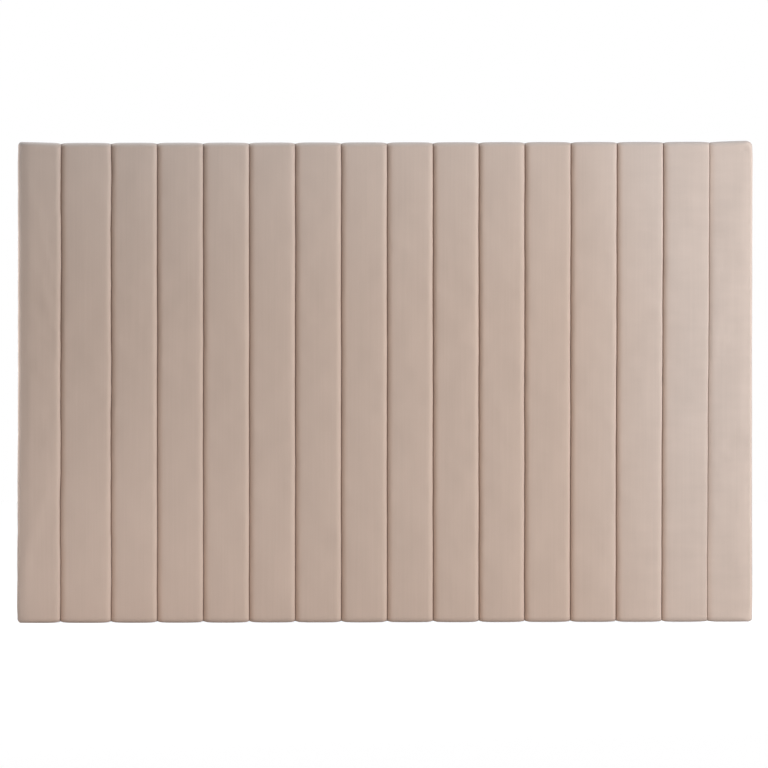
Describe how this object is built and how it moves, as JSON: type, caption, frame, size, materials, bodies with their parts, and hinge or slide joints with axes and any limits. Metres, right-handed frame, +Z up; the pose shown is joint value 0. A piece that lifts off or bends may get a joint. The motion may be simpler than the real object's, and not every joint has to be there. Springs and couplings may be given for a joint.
{
  "type": "headboard",
  "caption": "Wide upholstered bed headboard: upright padded channels in pale brown velvet over a lapped wood frame, with bed bolt nuts in its closed back.",
  "frame": {"origin": "Centre of the four bed bolt holes, on the back of the wooden frame.", "axes": "X runs along the panel, +Y is the way the bolts leave it at the back, so that the padding faces -Y, and Z is up."},
  "size_m": [1.6, 0.08, 1.046],
  "materials": {
    "velvet": "matte",
    "foam": "matte",
    "wadding": "matte",
    "seam_tape": "matte",
    "dust_cloth": "matte",
    "plywood": "matte",
    "softwood": "matte",
    "zinc_plate": "satin",
    "staple_wire": "satin"
  },
  "bodies": {
    "root": {"cover_panel_01": "velvet", "cover_panel_02": "velvet", "cover_panel_03": "velvet", "cover_panel_04": "velvet", "cover_panel_05": "velvet", "cover_panel_06": "velvet", "cover_panel_07": "velvet", "cover_panel_08": "velvet", "cover_panel_09": "velvet", "cover_panel_10": "velvet", "cover_panel_11": "velvet", "cover_panel_12": "velvet", "cover_panel_13": "velvet", "cover_panel_14": "velvet", "cover_panel_15": "velvet", "cover_panel_16": "velvet", "foam_strip_01": "foam", "foam_strip_02": "foam", "foam_strip_03": "foam", "foam_strip_04": "foam", "foam_strip_05": "foam", "foam_strip_06": "foam", "foam_strip_07": "foam", "foam_strip_08": "foam", "foam_strip_09": "foam", "foam_strip_10": "foam", "foam_strip_11": "foam", "foam_strip_12": "foam", "foam_strip_13": "foam", "foam_strip_14": "foam", "foam_strip_15": "foam", "foam_strip_16": "foam", "wadding_strips": "wadding", "seam_tapes": "seam_tape", "tape_staples": "staple_wire", "cover_staples": "staple_wire", "dust_cover_staples": "staple_wire", "face_board": "plywood", "left_stile": "softwood", "right_stile": "softwood", "left_mounting_upright": "softwood", "right_mounting_upright": "softwood", "centre_upright": "softwood", "top_rail": "softwood", "bottom_rail": "softwood", "corner_blocks": "softwood", "board_screws": "zinc_plate", "lap_screws": "zinc_plate", "bolt_tee_nuts": "zinc_plate", "dust_cover": "dust_cloth"}
  },
  "joints": []
}
